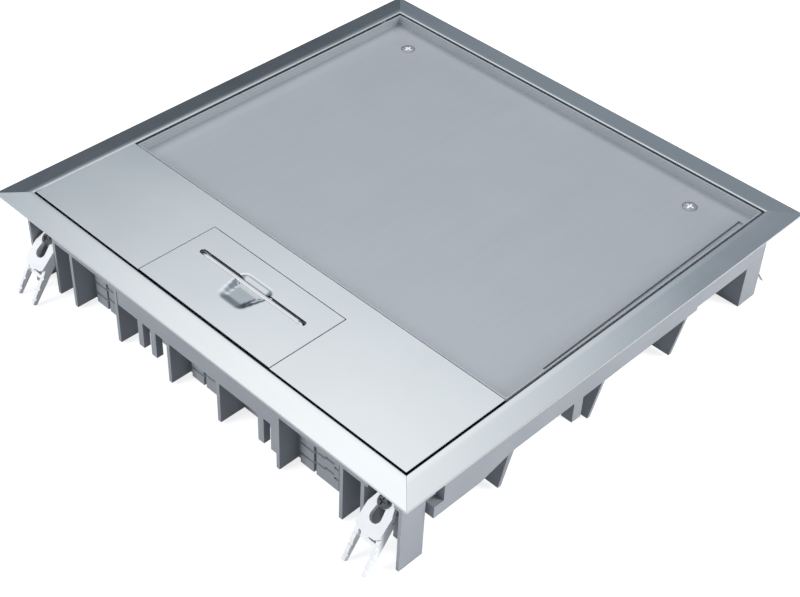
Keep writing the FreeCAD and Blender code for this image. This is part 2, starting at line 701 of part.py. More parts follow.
# Tray screws, their nuts and the hinge pins
screw = turned("tray_screw", [
    ("0", "-screwLength"), ("screwShank", "-screwLength"), ("screwShank", "-screwSink"),
    ("screwHead", "0"), ("screwHead * 0.6", "sheet * 0.25"), ("0", "sheet * 0.35")])
crossRecess(screw, "sheet * 0.35", "screwHead * 0.6", "screwHead * 0.24", "screwSink * 0.6")
nodes["tray_screws"] = copies("tray_screws", screw,
                              [placed(a, b, floorTop) for a, b in screwPlaces])
nut = body("tray_nut")
hexagon = [(f"nutHalf * {round(c, 4)} / 0.866", f"nutHalf * {round(s, 4)} / 0.866")
           for c, s in ((1, 0), (0.5, 0.8660), (-0.5, 0.8660), (-1, 0), (-0.5, -0.8660),
                        (0.5, -0.8660))]
pad(nut, sketch(nut, "XY", [hexagon, ("circle", "0", "0", "screwShank")]), "nutHigh", back=True)
nodes["tray_nuts"] = copies("tray_nuts", nut, [placed(a, b, plateLow) for a, b in screwPlaces])
pin = turned("lid_hinge_pin", [
    ("0", "0"), ("hingeRadius", "0"), ("hingeRadius", "hingeGrip - sheet / 2"),
    ("hingeRadius - sheet / 2", "hingeGrip"), ("0", "hingeGrip")])
nodes["lid_hinge_pins"] = copies("lid_hinge_pins", pin, [
    placed(lidInner, hingeAlong, hingeUp, yaw="90", roll="90"),
    placed(f"-{lidInner}", hingeAlong, hingeUp, yaw="-90", roll="90")])

# Front cover: folded sheet round the flap opening
cover = nodes["front_cover"] = body("front_cover")
coverTop = sketch(cover, "XY", [box(f"-{lidHalf}", lidHalf, f"-{lidHalf}", f"-{coverRear}")],
                  sheetLow)
pad(cover, coverTop, "sheet")
fold = sketch(cover, "XY", [[
    (f"-{lidHalf}", f"-{coverRear}"), (f"-{lidHalf}", f"-{lidHalf}"), (lidHalf, f"-{lidHalf}"),
    (lidHalf, f"-{coverRear}"), (lidInner, f"-{coverRear}"), (lidInner, f"-{lidInner}"),
    (f"-{lidInner}", f"-{lidInner}"), (f"-{lidInner}", f"-{coverRear}")]], hemLow)
pad(cover, fold, "hem")
pocket(cover, sketch(cover, "XY", [opening]), through, both=True)

# Outlet flap: sheet with its folded front, pressed finger dish and handle slot
flap = nodes["outlet_flap"] = body("outlet_flap")
flapTop = sketch(flap, "XY", [box("-flapLeft", "flapRight", f"-{lidHalf}", "-flapRear")], sheetLow)
pad(flap, flapTop, "sheet")
flapFold = sketch(flap, "XY", [box("-flapLeft", "flapRight", f"-{lidHalf}",
                                   f"-{lidHalf} + sheet")], f"{floorLow} + slideGap")
pad(flap, flapFold, f"{sheetLow} - {floorLow}")


def dishOutline(grow):
    half = f"(dishWidth / 2 + {grow})"
    rear, front = f"-dishRear + ({grow})", f"-dishFront - ({grow})"
    return [(f"-dishOffset - {half}", rear), (f"-dishOffset - {half} * 0.66", front),
            (f"-dishOffset + {half} * 0.66", front), (f"-dishOffset + {half}", rear)]


shell = loft(flap, "Additive", sketch(flap, "XY", [dishOutline("0")], sheetLow),
             sketch(flap, "XY", [dishOutline("sheet / 2 - dishTaper")],
                    f"{sheetLow} - dishDepth"))
hollow = loft(flap, "Subtractive", sketch(flap, "XY", [dishOutline("-sheet")], top),
              sketch(flap, "XY", [dishOutline("-dishTaper - sheet")], f"{top} - dishDepth"))
slotLeft = "(-slotOffset - slotLength / 2)"
slotRight = "(-slotOffset + slotLength / 2)"


def handleSlot(owner, spread):
    half = f"(slotWidth / 2 + {spread})"
    pieces = (box(f"{slotLeft} + slotWidth / 2", f"{slotRight} - slotWidth / 2",
                  f"-slotPlace - {half}", f"-slotPlace + {half}"),
              ("circle", f"{slotLeft} + slotWidth / 2", "-slotPlace", half),
              ("circle", f"{slotRight} - slotWidth / 2", "-slotPlace", half))
    for piece in pieces:
        pocket(owner, sketch(owner, "XY", [piece]), through, both=True)


handleSlot(flap, "0")

# Flap block under the sheet, hung on two pins
block = nodes["flap_block"] = body("flap_block")
blockOutline = box("-flapLeft + sheet", "flapRight - sheet", f"-{lidInner} + slideGap",
                   "-flapRear - sheet")
pad(block, sketch(block, "XY", [blockOutline], f"{sheetLow} - flapBlock"), "flapBlock")
cavity = sketch(block, "XY", [dishOutline("sheet")])
pocket(block, cavity, through, both=True)
handleSlot(block, "sheet / 4")
bore = sketch(block, "YZ", [("circle", f"-{flapAlong}", flapUp, "flapPinRadius")])
pocket(block, bore, through, both=True)
pin = turned("flap_hinge_pin", [("0", "0"), ("flapPinRadius", "0"),
                                ("flapPinRadius", "cheek * 2 + sheet"), ("0", "cheek * 2 + sheet")])
nodes["flap_hinge_pins"] = copies("flap_hinge_pins", pin, [
    placed(f"-{openLeft} - cheek", f"-{flapAlong}", flapUp, yaw="90", roll="90"),
    placed(f"{openRight} + cheek", f"-{flapAlong}", flapUp, yaw="-90", roll="90")])

# Lifting handle: one bent wire that slides in the slot
handle = nodes["lift_handle"] = body("lift_handle")
wireUp = f"({top} + wireProud - wireRadius)"
wireLeft = f"({slotLeft} + slotWidth / 2)"
wireRight = f"({slotRight} - slotWidth / 2)"
path = sketch(handle, "XZ", [], "slotPlace")
corners = [(f"{wireLeft} - wireFoot", f"{wireUp} - wireDrop"), (wireLeft, f"{wireUp} - wireDrop"),
           (wireLeft, wireUp), (wireRight, wireUp), (wireRight, f"{wireUp} - wireDrop"),
           (f"{wireRight} + wireFoot", f"{wireUp} - wireDrop")]
for i in range(len(corners) - 1):
    path.addGeometry(Part.LineSegment(FreeCAD.Vector(i, i * i, 0),
                                      FreeCAD.Vector(i + 1, (i + 1) ** 2, 0)))
    if i:
        path.addConstraint(constraint("Coincident", (i - 1, 2, i, 1)))
for i, (across, up) in enumerate(corners):
    end = (i, 1) if i < len(corners) - 1 else (i - 1, 2)
    hold(path, "DistanceX", (-1, 1, *end, float(i)), across)
    hold(path, "DistanceY", (-1, 1, *end, float(i * i)), up)
section = sketch(handle, "YZ", [("circle", "-slotPlace", f"{wireUp} - wireDrop", "wireRadius")],
                 f"{wireLeft} - wireFoot")
wire = handle.newObject("PartDesign::AdditivePipe", "Wire")
wire.Profile = section
wire.Spine = (path, [])
wire.Transition = "Round corner"

doc.recompute()

# Check every object, then write one file for each node
for item in doc.Objects:
    if any(state in ("Invalid", "Error") for state in item.State):
        raise RuntimeError(f"{item.Name} in {item.getParentGeoFeatureGroup()} didn't build")
os.makedirs("parts", exist_ok=True)
for name, item in nodes.items():
    if not item.Shape.isValid() or not item.Shape.Solids:
        raise RuntimeError(f"{name} has no valid solid")
    item.Shape.exportStep(f"parts/{name}.step")
    print(name, len(item.Shape.Solids), round(item.Shape.Volume, 1))
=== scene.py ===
import bpy
import json
import math
from mathutils import Matrix, Vector

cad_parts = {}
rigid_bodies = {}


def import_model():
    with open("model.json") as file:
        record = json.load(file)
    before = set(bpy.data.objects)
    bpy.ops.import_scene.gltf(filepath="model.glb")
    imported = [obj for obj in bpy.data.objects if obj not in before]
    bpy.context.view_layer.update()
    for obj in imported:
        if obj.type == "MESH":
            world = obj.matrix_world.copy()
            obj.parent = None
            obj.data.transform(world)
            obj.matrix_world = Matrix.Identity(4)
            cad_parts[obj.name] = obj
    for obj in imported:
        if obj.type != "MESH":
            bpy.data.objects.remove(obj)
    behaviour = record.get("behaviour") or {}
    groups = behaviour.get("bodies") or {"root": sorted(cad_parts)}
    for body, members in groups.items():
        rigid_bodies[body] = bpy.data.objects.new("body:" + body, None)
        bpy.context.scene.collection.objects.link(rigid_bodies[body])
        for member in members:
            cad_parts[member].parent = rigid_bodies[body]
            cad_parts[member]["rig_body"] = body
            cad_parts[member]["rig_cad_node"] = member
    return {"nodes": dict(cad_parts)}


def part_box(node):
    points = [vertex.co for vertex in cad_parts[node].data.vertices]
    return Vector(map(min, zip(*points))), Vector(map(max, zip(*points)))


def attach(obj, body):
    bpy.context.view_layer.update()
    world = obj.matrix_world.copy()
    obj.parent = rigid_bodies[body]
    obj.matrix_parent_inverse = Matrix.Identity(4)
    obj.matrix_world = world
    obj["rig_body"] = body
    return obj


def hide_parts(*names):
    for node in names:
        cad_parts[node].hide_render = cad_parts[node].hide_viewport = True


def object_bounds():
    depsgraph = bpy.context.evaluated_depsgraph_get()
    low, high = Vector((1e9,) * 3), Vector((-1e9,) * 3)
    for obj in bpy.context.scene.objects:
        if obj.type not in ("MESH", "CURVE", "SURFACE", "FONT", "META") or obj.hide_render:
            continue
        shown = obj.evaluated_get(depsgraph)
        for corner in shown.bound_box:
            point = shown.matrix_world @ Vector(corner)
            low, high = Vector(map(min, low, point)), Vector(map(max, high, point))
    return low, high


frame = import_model()
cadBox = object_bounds()
nodes = frame["nodes"]
print("frame loaded:", len(nodes), "nodes")

# the view the photo was taken from
view = {
    "azimuth": 42.681,  # degrees round from the flap side
    "elevation": 41.184,
    "roll": 2.91,
    "distance": 0.7008,
    "sideStep": -0.00121,
    "upStep": -0.04465,
    "focalPixels": 1518.6,
    "imageWidth": 800,
    "sensorWidth": 36,
    "nearest": 0.01,
}


def makeCamera():
    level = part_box("front_cover")[1].z
    turn, lift, roll = (math.radians(view[key]) for key in ("azimuth", "elevation", "roll"))
    back = Vector((math.sin(turn) * math.cos(lift), -math.cos(turn) * math.cos(lift),
                   math.sin(lift)))
    right = Vector((math.cos(turn), math.sin(turn), 0))
    up = back.cross(right)
    right, up = (right * math.cos(roll) + up * math.sin(roll),
                 up * math.cos(roll) - right * math.sin(roll))
    spot = Vector((0, 0, level)) + back * view["distance"]
    spot += right * view["sideStep"] + up * view["upStep"]
    data = bpy.data.cameras.new("photoCamera")
    data.sensor_width = view["sensorWidth"]
    data.lens = view["focalPixels"] / view["imageWidth"] * data.sensor_width
    data.clip_start = view["nearest"]
    camera = bpy.data.objects.new("photoCamera", data)
    bpy.context.collection.objects.link(camera)
    axes = Matrix((right, up, back)).transposed().to_4x4()
    camera.matrix_world = Matrix.Translation(spot) @ axes
    bpy.context.scene.camera = camera


makeCamera()
bpy.context.scene.view_settings.view_transform = "Standard"
print("camera placed")


# shader nodes
def newGroup(name, inputs, outputs):
    group = bpy.data.node_groups.new(name, "ShaderNodeTree")
    for label, kind in inputs:
        group.interface.new_socket(label, in_out="INPUT", socket_type=kind)
    for label in outputs:
        group.interface.new_socket(label, in_out="OUTPUT", socket_type="NodeSocketFloat")
    return group, group.nodes.new("NodeGroupInput"), group.nodes.new("NodeGroupOutput")


def feed(tree, socket, value):
    if isinstance(value, bpy.types.NodeSocket):
        tree.links.new(value, socket)
    else:
        socket.default_value = value


def addNoise(tree, vector, scale, detail, rough=0.5):
    noise = tree.nodes.new("ShaderNodeTexNoise")
    feed(tree, noise.inputs["Vector"], vector)
    feed(tree, noise.inputs["Scale"], scale)
    noise.inputs["Detail"].default_value = detail
    noise.inputs["Roughness"].default_value = rough
    return noise.outputs["Fac"]


def addMath(tree, kind, first, second):
    step = tree.nodes.new("ShaderNodeMath")
    step.operation = kind
    for socket, value in zip(step.inputs, (first, second)):
        feed(tree, socket, value)
    return step.outputs[0]


def addBlend(tree, first, second, firstShare):
    return addMath(tree, "ADD", addMath(tree, "MULTIPLY", first, firstShare),
                   addMath(tree, "MULTIPLY", second, 1 - firstShare))


def addRange(tree, value, low, high, newLow, newHigh):
    step = tree.nodes.new("ShaderNodeMapRange")
    for label, number in (("From Min", low), ("From Max", high),
                          ("To Min", newLow), ("To Max", newHigh)):
        step.inputs[label].default_value = number
    tree.links.new(value, step.inputs["Value"])
    return step.outputs["Result"]


def mixColours(tree, factor, first, second):
    mix = tree.nodes.new("ShaderNodeMix")
    mix.data_type = "RGBA"
    for label, colour in (("A", first), ("B", second)):
        feed(tree, mix.inputs[label], (*colour, 1) if isinstance(colour, tuple) else colour)
    tree.links.new(factor, mix.inputs["Factor"])
    return mix.outputs["Result"]


def addBump(tree, shader, height, strength, distance):
    bump = tree.nodes.new("ShaderNodeBump")
    bump.inputs["Strength"].default_value = strength
    bump.inputs["Distance"].default_value = distance
    tree.links.new(height, bump.inputs["Height"])
    tree.links.new(bump.outputs["Normal"], shader.inputs["Normal"])


# the two node groups that the finishes share
brushed = {
    "fineDetail": 5,
    "fineRough": 0.65,
    "broadScale": 0.22,  # against the fine grain
    "broadDetail": 3,
    "fineShare": 0.55,
    "cloudDetail": 3,
    "darkUpTo": 0.3,  # tones between these two go from the dark colour to the light one
    "lightFrom": 0.7,
}
moulded = {
    "grainDetail": 3,
    "flowDetail": 4,
    "grainShare": 0.3,
    "darkUpTo": 0.35,
    "lightFrom": 0.65,
}


def makeBrushedGroup():
    group, given, out = newGroup(
        "brushedGrain", [("Grain", "NodeSocketVector"), ("Cloud Size", "NodeSocketFloat")],
        ["Tone", "Cloud", "Height"])
    spot = group.nodes.new("ShaderNodeTexCoord").outputs["Object"]
    stretch = group.nodes.new("ShaderNodeVectorMath")
    stretch.operation = "MULTIPLY"
    group.links.new(spot, stretch.inputs[0])
    group.links.new(given.outputs["Grain"], stretch.inputs[1])
    fine = addNoise(group, stretch.outputs[0], 1.0, brushed["fineDetail"], brushed["fineRough"])
    broad = addNoise(group, stretch.outputs[0], brushed["broadScale"], brushed["broadDetail"])
    cloud = addNoise(group, spot, given.outputs["Cloud Size"], brushed["cloudDetail"])
    tone = addBlend(group, fine, broad, brushed["fineShare"])
    for label, value in (("Tone", tone), ("Cloud", cloud), ("Height", fine)):
        group.links.new(value, out.inputs[label])
    return group


def makeMouldedGroup():
    group, given, out = newGroup(
        "mouldedSkin", [("Grain Size", "NodeSocketFloat"), ("Flow Size", "NodeSocketFloat")],
        ["Tone", "Height"])
    spot = group.nodes.new("ShaderNodeTexCoord").outputs["Object"]
    grain = addNoise(group, spot, given.outputs["Grain Size"], moulded["grainDetail"])
    flow = addNoise(group, spot, given.outputs["Flow Size"], moulded["flowDetail"])
    group.links.new(addBlend(group, grain, flow, moulded["grainShare"]), out.inputs["Tone"])
    group.links.new(grain, out.inputs["Height"])
    return group


brushedGroup = makeBrushedGroup()
mouldedGroup = makeMouldedGroup()


def newMaterial(name):
    made = bpy.data.materials.new(name)
    made.use_nodes = True
    return made, made.node_tree, made.node_tree.nodes["Principled BSDF"]


def addGroup(tree, group, values):
    node = tree.nodes.new("ShaderNodeGroup")
    node.node_tree = group
    for label, value in values.items():
        node.inputs[label].default_value = value
    return node.outputs


def dressShader(tree, shader, tone, height, look, kind):
    limits = kind["darkUpTo"], kind["lightFrom"]
    colour = mixColours(tree, addRange(tree, tone, *limits, 0, 1), look["dark"], look["light"])
    tree.links.new(colour, shader.inputs["Base Color"])
    rough = addRange(tree, tone, *limits, *look["roughness"])
    tree.links.new(rough, shader.inputs["Roughness"])
    addBump(tree, shader, height, look["bump"], look["bumpDepth"])


def brushedSteel(name, look):
    made, tree, shader = newMaterial(name)
    grain = addGroup(tree, brushedGroup, {"Grain": look["grain"], "Cloud Size": look["cloudSize"]})
    tone = addBlend(tree, grain["Cloud"], grain["Tone"], look["cloudShare"])
    shader.inputs["Metallic"].default_value = look["metallic"]
    dressShader(tree, shader, tone, grain["Height"], look, brushed)
    return made


def mouldedPlastic(name, look):
    made, tree, shader = newMaterial(name)
    skin = addGroup(tree, mouldedGroup,
                    {"Grain Size": look["grainSize"], "Flow Size": look["flowSize"]})
    shader.inputs["IOR"].default_value = look["ior"]
    dressShader(tree, shader, skin["Tone"], skin["Height"], look, moulded)
    return made


# the looks: those with metallic are steels, those with ior are plastics
bar = {"cloudSize": 34.0, "cloudShare": 0.6, "dark": (0.70, 0.74, 0.755),
       "light": (0.77, 0.81, 0.825), "roughness": (0.14, 0.20), "metallic": 1.0,
       "bump": 0.12, "bumpDepth": 0.00004}
smallPart = {"grain": (900, 900, 900), "cloudSize": 120.0, "cloudShare": 0.5}
greyPart = {"grainSize": 2400.0, "flowSize": 40.0, "roughness": (0.46, 0.58), "ior": 1.5,
            "bump": 0.25, "bumpDepth": 0.00005}
finishes = {
    "barAlongX": {**bar, "grain": (45, 2400, 2400)},
    "barAlongY": {**bar, "grain": (2400, 45, 2400)},
    "cover": {"grain": (40, 2200, 2200), "cloudSize": 26.0, "cloudShare": 0.88,
              "dark": (0.69, 0.73, 0.75), "light": (0.77, 0.81, 0.83),
              "roughness": (0.18, 0.24), "metallic": 1.0, "bump": 0.08, "bumpDepth": 0.00004},
    "tray": {"grain": (1800, 60, 1800), "cloudSize": 30.0, "cloudShare": 0.4,
             "dark": (0.482, 0.508, 0.535), "light": (0.532, 0.558, 0.585),
             "roughness": (0.40, 0.46), "metallic": 0.72, "bump": 0.3, "bumpDepth": 0.00004},
    "wire": {"grain": (30, 1500, 1500), "cloudSize": 40.0, "cloudShare": 0.3,
             "dark": (0.80, 0.81, 0.82), "light": (0.90, 0.905, 0.91),
             "roughness": (0.10, 0.18), "metallic": 1.0, "bump": 0.15, "bumpDepth": 0.00002},
    "screwHead": {**smallPart, "dark": (0.44, 0.46, 0.48), "light": (0.54, 0.56, 0.58),
                  "roughness": (0.40, 0.50), "metallic": 0.9, "bump": 0.2, "bumpDepth": 0.00003},
    # near-white and nearly non-metallic: painted highlight standing in for the glints on the walls
    # of the cross recess
    "recess": {**smallPart, "dark": (0.86, 0.87, 0.88), "light": (0.95, 0.955, 0.96),
               "roughness": (0.45, 0.55), "metallic": 0.1, "bump": 0.1, "bumpDepth": 0.00002},
    "zinc": {**smallPart, "dark": (0.66, 0.67, 0.69), "light": (0.82, 0.83, 0.84),
             "roughness": (0.22, 0.36), "metallic": 1.0, "bump": 0.2, "bumpDepth": 0.00003},
    # near-black steel on the claw screws: painted shade, so they read as the dark inside the
    # keyholes
    "clawScrewShade": {**smallPart, "dark": (0.10, 0.105, 0.11), "light": (0.17, 0.175, 0.18),
                  "roughness": (0.26, 0.38), "metallic": 1.0, "bump": 0.2, "bumpDepth": 0.00003},
    "moulding": {**greyPart, "dark": (0.290, 0.308, 0.332), "light": (0.335, 0.352, 0.376)},
    # near-black moulding: painted shade on the cable slot floors, standing in for the shade deep
    # in the slots
    "slots": {**greyPart, "dark": (0.08, 0.085, 0.095), "light": (0.11, 0.115, 0.125)},
    "claw": {"grainSize": 2600.0, "flowSize": 70.0, "dark": (0.88, 0.885, 0.88),
             "light": (0.95, 0.95, 0.945), "roughness": (0.34, 0.44), "ior": 1.5,
             "bump": 0.15, "bumpDepth": 0.00004},
    "rubber": {"grainSize": 3000.0, "flowSize": 90.0, "dark": (0.018, 0.018, 0.019),
               "light": (0.035, 0.035, 0.036), "roughness": (0.7, 0.85), "ior": 1.5,
               "bump": 0.3, "bumpDepth": 0.00006},
}

steels = {key: brushedSteel(key + "Steel", look)
          for key, look in finishes.items() if "metallic" in look}
plastics = {key: mouldedPlastic(key + "Plastic", look)
            for key, look in finishes.items() if "ior" in look}
nodeFinish = {
    "trim_front": steels["barAlongX"], "trim_back": steels["barAlongX"],
    "trim_right": steels["barAlongY"], "trim_left": steels["barAlongY"],
    "front_cover": steels["cover"], "outlet_flap": steels["cover"],
    "lid_tray": steels["tray"], "lift_handle": steels["wire"],
    # the claw screws carry the near-black painted shade of the keyholes
    "tray_screws": steels["screwHead"], "claw_screws": steels["clawScrewShade"],
    "housing": plastics["moulding"], "lid_carrier": plastics["moulding"],
    "flap_block": plastics["moulding"], "lid_buffers": plastics["rubber"],
}


def finishFor(name):
    if name in nodeFinish:
        return nodeFinish[name]
    if name.startswith("claw_"):
        return plastics["claw"]
    return steels["zinc"]


def dressNodes():
    for name, piece in nodes.items():
        for holder in piece.material_slots:
            holder.material = finishFor(name)


dressNodes()
print("finishes made:", len(steels) + len(plastics))

# modelling helpers
near = {
    "weld": 0.000005,
    "touch": 0.00001,
    "level": 0.00005,
    "corner": 0.0001,
    "flatAngle": 0.5,  # degrees
}


def takeUp(piece):
    if bpy.context.mode != "OBJECT":
        bpy.ops.object.mode_set(mode="OBJECT")
    bpy.ops.object.select_all(action="DESELECT")
    piece.select_set(True)
    bpy.context.view_layer.objects.active = piece


def applyPlace():
    bpy.ops.object.transform_apply(location=True, rotation=True, scale=True)


def settle(piece, smoothAngle=30):
    takeUp(piece)
    for modifier in list(piece.modifiers):
        bpy.ops.object.modifier_apply(modifier=modifier.name)
    applyPlace()
    bpy.ops.object.shade_smooth_by_angle(angle=math.radians(smoothAngle))
    piece.modifiers.new("flatFacesLead", "WEIGHTED_NORMAL").keep_sharp = True
    bpy.ops.object.modifier_apply(modifier="flatFacesLead")


def weldAll():
    bpy.ops.mesh.select_all(action="SELECT")
    bpy.ops.mesh.remove_doubles(threshold=near["weld"])


def extrude(step):
    bpy.ops.mesh.extrude_region_move(TRANSFORM_OT_translate={"value": step})


def nodeCopy(nodeName, pieceName):
    source = nodes[nodeName]
    piece = source.copy()
    piece.data = source.data.copy()
    piece.parent = None
    piece.name = pieceName
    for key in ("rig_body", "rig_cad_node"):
        if key in piece:
            del piece[key]
    bpy.context.collection.objects.link(piece)
    takeUp(piece)
    bpy.ops.object.mode_set(mode="EDIT")
    weldAll()
    bpy.ops.mesh.dissolve_limited(angle_limit=math.radians(near["flatAngle"]))
    bpy.ops.object.mode_set(mode="OBJECT")
    return piece


def clearChoice(piece, kind):
    takeUp(piece)
    bpy.ops.object.mode_set(mode="EDIT")
    bpy.ops.mesh.select_mode(type=kind)
    bpy.ops.mesh.select_all(action="DESELECT")
    bpy.ops.object.mode_set(mode="OBJECT")


def pickVertices(piece, test):
    clearChoice(piece, "VERT")
    for vertex in piece.data.vertices:
        vertex.select = test(vertex.co)
    bpy.ops.object.mode_set(mode="EDIT")


def pickEdges(piece, test):
    clearChoice(piece, "EDGE")
    points = piece.data.vertices
    for edge in piece.data.edges:
        edge.select = test(points[edge.vertices[0]].co, points[edge.vertices[1]].co)
    bpy.ops.object.mode_set(mode="EDIT")


def moveVertices(piece, test, step):
    pickVertices(piece, test)
    bpy.ops.transform.translate(value=step)
    bpy.ops.object.mode_set(mode="OBJECT")


def roundEdges(piece, width, segments=2, angle=35):
    edges = piece.modifiers.new("roundedEdges", "BEVEL")
    edges.width = width
    edges.segments = segments
    edges.limit_method = "ANGLE"
    edges.angle_limit = math.radians(angle)
    edges.use_clamp_overlap = True


def thicken(piece, sheet):
    thick = piece.modifiers.new("thickness", "SOLIDIFY")
    thick.thickness = sheet
    thick.offset = -1
    thick.use_even_offset = True


def subtract(piece, cutter):
    cut = piece.modifiers.new("cut", "BOOLEAN")
    cut.operation = "DIFFERENCE"
    cut.solver = "FAST"
    cut.object = cutter
    settle(piece)
    bpy.data.objects.remove(cutter, do_unlink=True)


def place(piece, body, slotName, *replaced):
    piece.data.materials.clear()
    piece.data.materials.append(finishFor(replaced[0]))
    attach(piece, body)
    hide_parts(*replaced)


# the four bars of the trim, with the soft crease between slope and flat
trim = {
    "edgeRound": 0.00012,
    "creaseWidth": 0.0012,
    "creaseSegments": 4,
    "creaseShift": 0.0014,  # the slope reaches closer to the lid than on the solid
    "creaseReach": 0.009,  # from the bar's outer edge to the solid's crease
    "creaseFromLid": 0.003,  # the crease is looked for between these two distances,
    "creaseFromEdge": 0.004,  # from the lid and from the outer edge
    "innerBend": 0.0005,
    "innerSegments": 4,
    "innerReach": 0.002,  # the inner edge lies closer to the lid than this
    "innerLength": 0.1,  # and is longer than this
}


def makeTrim(side):
    piece = nodeCopy("trim_" + side, "trim" + side.title())
    low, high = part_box("trim_" + side)
    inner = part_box("lid_tray")[1].x
    outer = max(abs(low.x), abs(high.x), abs(low.y), abs(high.y))

    def reach(point):
        return max(abs(point.x), abs(point.y))

    def onTop(*points):
        return all(abs(point.z - high.z) < near["level"] for point in points)

    def onCrease(*points):
        return onTop(*points) and all(
            inner + trim["creaseFromLid"] < reach(point) < outer - trim["creaseFromEdge"]
            for point in points)

    def onInnerEdge(first, second):
        return (onTop(first, second) and (first - second).length > trim["innerLength"]
                and reach((first + second) / 2) < inner + trim["innerReach"])

    pickVertices(piece, onCrease)
    closer = 1 - trim["creaseShift"] / (outer - trim["creaseReach"])
    bpy.ops.transform.resize(value=(closer, closer, 1), center_override=(0, 0, high.z))
    for test, width, segments in (
            (onCrease, trim["creaseWidth"], trim["creaseSegments"]),
            (onInnerEdge, trim["innerBend"], trim["innerSegments"])):
        pickEdges(piece, test)
        bpy.ops.mesh.bevel(offset=width, segments=segments, affect="EDGES")
    bpy.ops.object.mode_set(mode="OBJECT")
    roundEdges(piece, trim["edgeRound"])
    settle(piece)
    place(piece, "frame", "stainless", "trim_" + side)


for trimSide in ("front", "right", "back", "left"):
    makeTrim(trimSide)
print("trim dressed")

# the tray for the floor covering: a pressed sheet with a bent rim
tray = {
    "sheet": 0.001,
    "rim": 0.0007,
    "frontRim": 0.001,
    "depth": 0.005,
    "rightGrow": 0.0003,  # wider than the solid on the right
    "otherGap": 0.0006,  # and narrower on the left and at the back
    "rimBend": 0.0002,
    "bendSegments": 4,
    "gapInset": 0.0064,  # the floor's gap along the right wall, from the tray's right side
    "gapWidth": 0.0030,
    "gapFront": -0.033,
    "gapRear": 0.110,
    "gapTaper": 0.0018,  # the gap's front end is narrower by this
    "edgeRound": 0.0003,
    "edgeAngle": 60,
    "holeClearance": 0.0002,
    "holePoints": 40,
    "cutDepth": 0.004,
}


def makeTray():
    low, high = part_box("lid_tray")
    high.x += tray["rightGrow"]
    low.x += tray["otherGap"]
    high.y -= tray["otherGap"]
    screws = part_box("tray_screws")
    rim, top = tray["rim"], high.z - near["touch"]
    bpy.ops.mesh.primitive_plane_add(
        size=1, location=((low.x + high.x) / 2, (low.y + high.y) / 2, high.z))
    piece = bpy.context.object
    piece.name = "lidTray"
    piece.scale = (high.x - low.x, high.y - low.y, 1)
    applyPlace()
    bpy.ops.object.mode_set(mode="EDIT")
    bpy.ops.mesh.select_all(action="SELECT")
    bpy.ops.mesh.inset(thickness=rim)
    extrude((0, 0, -tray["depth"]))
    front = low.y + rim
    moveVertices(piece, lambda point: abs(point.y - front) < near["touch"],
                 (0, tray["frontRim"] - rim, 0))

    def onRim(first, second):
        middle = (first + second) / 2
        inside = (low.x + rim / 2 < middle.x < high.x - rim / 2
                  and low.y + rim < middle.y < high.y - rim / 2)
        return min(first.z, second.z) > top and inside and (first - second).length > 2 * rim

    def onOutside(*points):
        return all(point.z > top and min(point.x - low.x, high.x - point.x, point.y - low.y,
                                         high.y - point.y) < near["touch"] for point in points)

    pickEdges(piece, onRim)
    bpy.ops.mesh.bevel(offset=tray["rimBend"], segments=tray["bendSegments"], affect="EDGES")
    pickEdges(piece, onOutside)
    extrude((0, 0, low.z - high.z))
    bpy.ops.object.mode_set(mode="OBJECT")
    thicken(piece, tray["sheet"])
    roundEdges(piece, tray["edgeRound"], angle=tray["edgeAngle"])
    settle(piece)
    floorLevel = high.z - tray["depth"]
    radius = (screws[1].y - screws[0].y) / 2
    for across in (screws[0].x + radius, screws[1].x - radius):
        cutHole(piece, (across, (screws[0].y + screws[1].y) / 2, floorLevel),
                radius + tray["holeClearance"])
    cutGap(piece, high.x - tray["gapInset"], floorLevel)
    place(piece, "lid", "stainless", "lid_tray")


def cutHole(piece, middle, radius):
    bpy.ops.mesh.primitive_cylinder_add(vertices=tray["holePoints"], radius=radius,
                                        depth=tray["cutDepth"], location=middle)
    cutter = bpy.context.object
    applyPlace()
    subtract(piece, cutter)


def cutGap(piece, left, level):
    front, rear = tray["gapFront"], tray["gapRear"]
    bpy.ops.mesh.primitive_cube_add(
        size=1, location=(left + tray["gapWidth"] / 2, (front + rear) / 2, level))
    cutter = bpy.context.object
    cutter.scale = (tray["gapWidth"], rear - front, tray["cutDepth"])
    applyPlace()
    moveVertices(cutter, lambda point: point.y < front + near["corner"]
                 and point.x < left + near["corner"], (tray["gapTaper"], 0, 0))
    subtract(piece, cutter)


makeTray()
print("tray dressed")

# the lid's hinge pins, whose inner ends stop inside the thin wall of the tray
hingePin = {"shorten": 0.0014, "endReach": 0.0005}


def makeHingePins():
    piece = nodeCopy("lid_hinge_pins", "lidHingePins")
    end = min(abs(vertex.co.x) for vertex in piece.data.vertices) + hingePin["endReach"]
    for side in (-1, 1):
        moveVertices(piece, lambda point: point.x * side > 0 and abs(point.x) < end,
                     (side * hingePin["shorten"], 0, 0))
    settle(piece)
    place(piece, "lid", "zinc_steel", "lid_hinge_pins")


makeHingePins()
print("hinge pins dressed")

# the sheet over the front strip of the lid
cover = {
    "edgeRound": 0.0002,
    "edgeSegments": 3,
    "leftGrow": 0.00105,  # on the left the sheet nearly touches the frame
    "grow": 0.0003,
    "edgeReach": 0.0011,
}


def makeCover():
    piece = nodeCopy("front_cover", "frontCover")
    low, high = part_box("front_cover")
    for axis, edge, step in ((0, low.x, (-cover["leftGrow"], 0, 0)),
                             (0, high.x, (cover["grow"], 0, 0)),
                             (1, low.y, (0, -cover["grow"], 0))):
        moveVertices(piece, lambda point: abs(point[axis] - edge) < cover["edgeReach"], step)
    roundEdges(piece, cover["edgeRound"], cover["edgeSegments"])
    settle(piece)
    place(piece, "lid", "stainless", "front_cover")


makeCover()
print("cover dressed")

